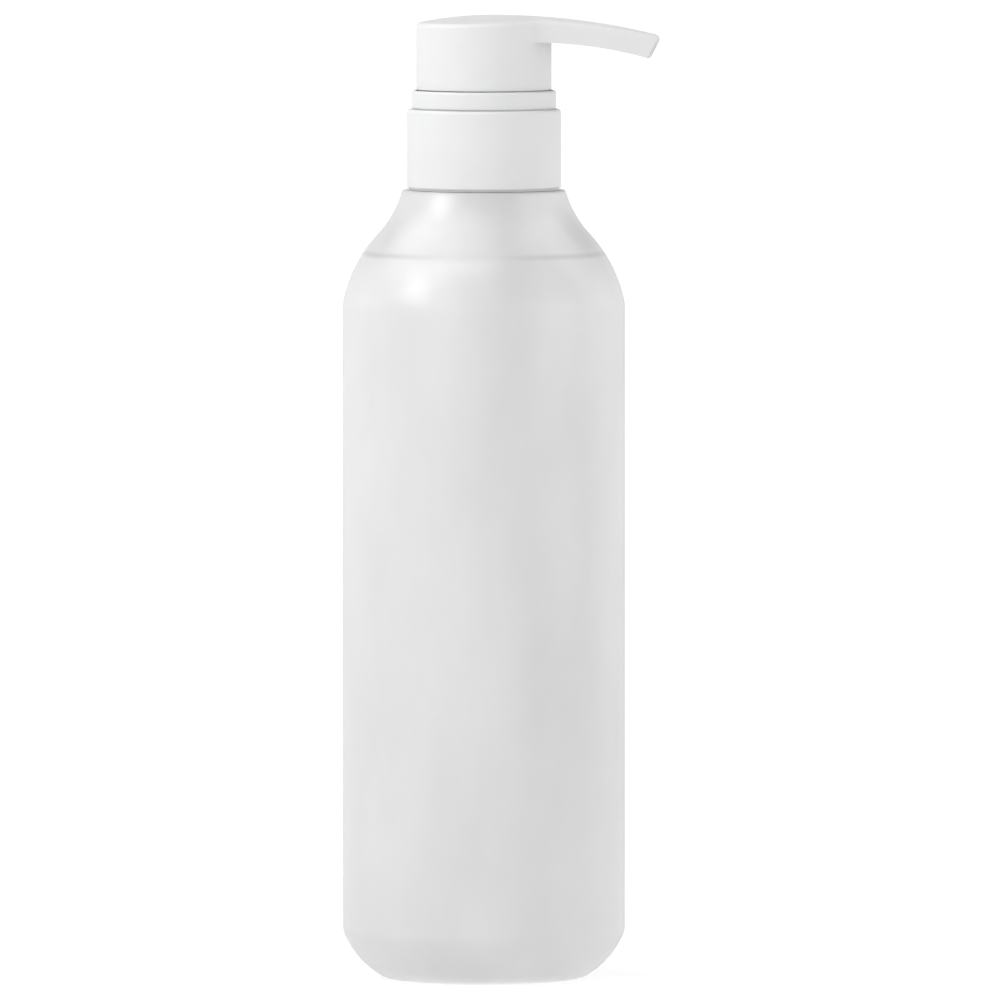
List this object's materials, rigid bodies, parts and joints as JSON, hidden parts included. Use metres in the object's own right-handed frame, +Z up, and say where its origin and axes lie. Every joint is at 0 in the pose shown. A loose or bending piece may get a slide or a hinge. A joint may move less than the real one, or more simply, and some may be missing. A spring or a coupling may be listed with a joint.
{
  "type": "pump bottle",
  "caption": "Round-shouldered frosted pump bottle filled with white shampoo, with a screw closure, a long-spout push head, and a working lotion pump inside.",
  "frame": {"origin": "on the bottle's axis, on the plane that its base stands on", "axes": "+Z up along the bottle's axis; +X along the spout at rest; right-handed"},
  "size_m": [0.0727, 0.065, 0.2217],
  "materials": {
    "frosted_plastic": "satin",
    "white_plastic": "satin",
    "natural_plastic": "satin",
    "shampoo": "gloss",
    "foam_gasket": "matte",
    "spring_steel": "polished",
    "ball_glass": "gloss"
  },
  "bodies": {
    "bottle": {"bottle": "frosted_plastic", "shampoo": "shampoo"},
    "pump_body": {"pump_housing": "natural_plastic", "neck_gasket": "foam_gasket", "housing_cap": "white_plastic", "ball_cage": "natural_plastic", "dip_tube": "natural_plastic"},
    "closure": {"threaded_cap": "white_plastic", "closure_shell": "white_plastic", "collar_ring": "white_plastic"},
    "piston": {"piston_seal": "natural_plastic", "return_spring": "spring_steel"},
    "head": {"pump_head": "white_plastic", "stem": "white_plastic", "stem_plug": "natural_plastic"},
    "inlet_ball": {"inlet_ball": "ball_glass"},
    "outlet_ball": {"outlet_ball": "ball_glass"}
  },
  "joints": [
    {"name": "pump_lift", "type": "slide", "parent": "bottle", "child": "pump_body", "axis": [0, 0, 1], "range_m": [0, 0.0048]},
    {"name": "closure_turn", "type": "hinge", "parent": "pump_body", "child": "closure", "pos_m": [0, 0, 0.19], "axis": [0, 0, 1], "range_deg": [0, 540]},
    {"name": "head_press", "type": "slide", "parent": "pump_body", "child": "piston", "axis": [0, 0, -1], "range_m": [0, 0.01], "stiffness_N_per_m": 800, "springref_m": -0.01, "deforming": ["return_spring"]},
    {"name": "head_turn", "type": "hinge", "parent": "piston", "child": "head", "pos_m": [0, 0, 0.21], "axis": [0, 0, 1], "continuous": true},
    {"name": "inlet_ball_lift", "type": "slide", "parent": "pump_body", "child": "inlet_ball", "axis": [0, 0, 1], "range_m": [0, 0.0018]},
    {"name": "outlet_ball_lift", "type": "slide", "parent": "head", "child": "outlet_ball", "axis": [0, 0, 1], "range_m": [0, 0.0018]}
  ],
  "couplings": [
    {"joint": "pump_lift", "follows": "closure_turn", "m_per_rad": 0.00050532}
  ]
}
